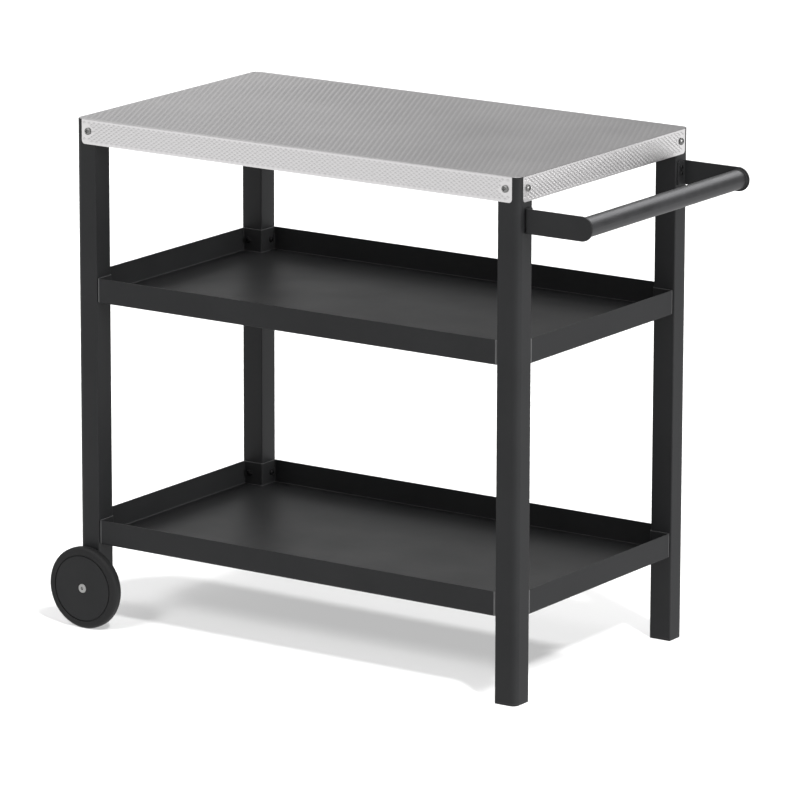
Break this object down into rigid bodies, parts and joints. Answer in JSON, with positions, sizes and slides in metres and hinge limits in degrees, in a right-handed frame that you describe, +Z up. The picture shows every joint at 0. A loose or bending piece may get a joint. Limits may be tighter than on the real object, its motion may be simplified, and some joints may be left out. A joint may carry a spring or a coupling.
{
  "type": "grill cart",
  "caption": "Two-shelf rolling grill cart: embossed steel top on square tube legs, folded tray shelves, a round push handle at one end and wheels at the other.",
  "frame": {"origin": "on the floor, under the middle of the cart's box", "axes": "+Z up, +X from the wheels to the handle, -Y to the front"},
  "size_m": [1.0258, 0.5424, 0.8484],
  "materials": {
    "embossed_steel": "fine diamond emboss, satin stainless sheet",
    "galvanised_steel": "galvanised sheet, dull",
    "charcoal_paint": "satin charcoal powder coat, fine texture",
    "cap_plastic": "moulded black plastic",
    "zinc_steel": "zinc plated",
    "bright_steel": "bright plated steel",
    "dull_steel": "dull dark plated steel",
    "gunmetal_steel": "satin gunmetal tube",
    "black_oxide_steel": "black oxide, semi-gloss",
    "wheel_plastic": "moulded black plastic, fine grain",
    "tyre_rubber": "smooth matt rubber",
    "bush_nylon": "natural nylon"
  },
  "bodies": {
    "cart": {"table_top": "embossed_steel", "top_brace_left": "galvanised_steel", "top_brace_right": "galvanised_steel", "leg_front_left": "charcoal_paint", "leg_front_right": "charcoal_paint", "leg_rear_left": "charcoal_paint", "leg_rear_right": "charcoal_paint", "leg_end_cap_front_left": "cap_plastic", "leg_end_cap_rear_left": "cap_plastic", "foot_cap_front_right": "cap_plastic", "foot_cap_rear_right": "cap_plastic", "middle_shelf": "charcoal_paint", "bottom_shelf": "charcoal_paint", "handle_arm_front": "charcoal_paint", "handle_arm_rear": "charcoal_paint", "handle_bar": "gunmetal_steel", "handle_weld_beads": "charcoal_paint", "top_screws": "dull_steel", "top_rivet_nuts": "zinc_steel", "middle_shelf_bolts": "black_oxide_steel", "middle_shelf_rivet_nuts": "zinc_steel", "bottom_shelf_bolts": "black_oxide_steel", "bottom_shelf_rivet_nuts": "zinc_steel", "handle_bolts": "black_oxide_steel", "handle_rivet_nuts": "zinc_steel", "axle_bolt_front": "bright_steel", "axle_washers_front": "zinc_steel", "axle_spacer_front": "zinc_steel", "axle_lock_nut_front": "zinc_steel", "axle_bolt_rear": "bright_steel", "axle_washers_rear": "zinc_steel", "axle_spacer_rear": "zinc_steel", "axle_lock_nut_rear": "zinc_steel"},
    "front_wheel": {"wheel_hub_front": "wheel_plastic", "wheel_tyre_front": "tyre_rubber", "wheel_bush_front": "bush_nylon"},
    "rear_wheel": {"wheel_hub_rear": "wheel_plastic", "wheel_tyre_rear": "tyre_rubber", "wheel_bush_rear": "bush_nylon"}
  },
  "joints": [
    {"name": "front_wheel_spin", "type": "hinge", "parent": "cart", "child": "front_wheel", "pos_m": [-0.4445, -0.2612, 0.0684], "axis": [0, 1, 0], "continuous": true},
    {"name": "rear_wheel_spin", "type": "hinge", "parent": "cart", "child": "rear_wheel", "pos_m": [-0.4445, 0.2612, 0.0684], "axis": [0, 1, 0], "continuous": true}
  ]
}
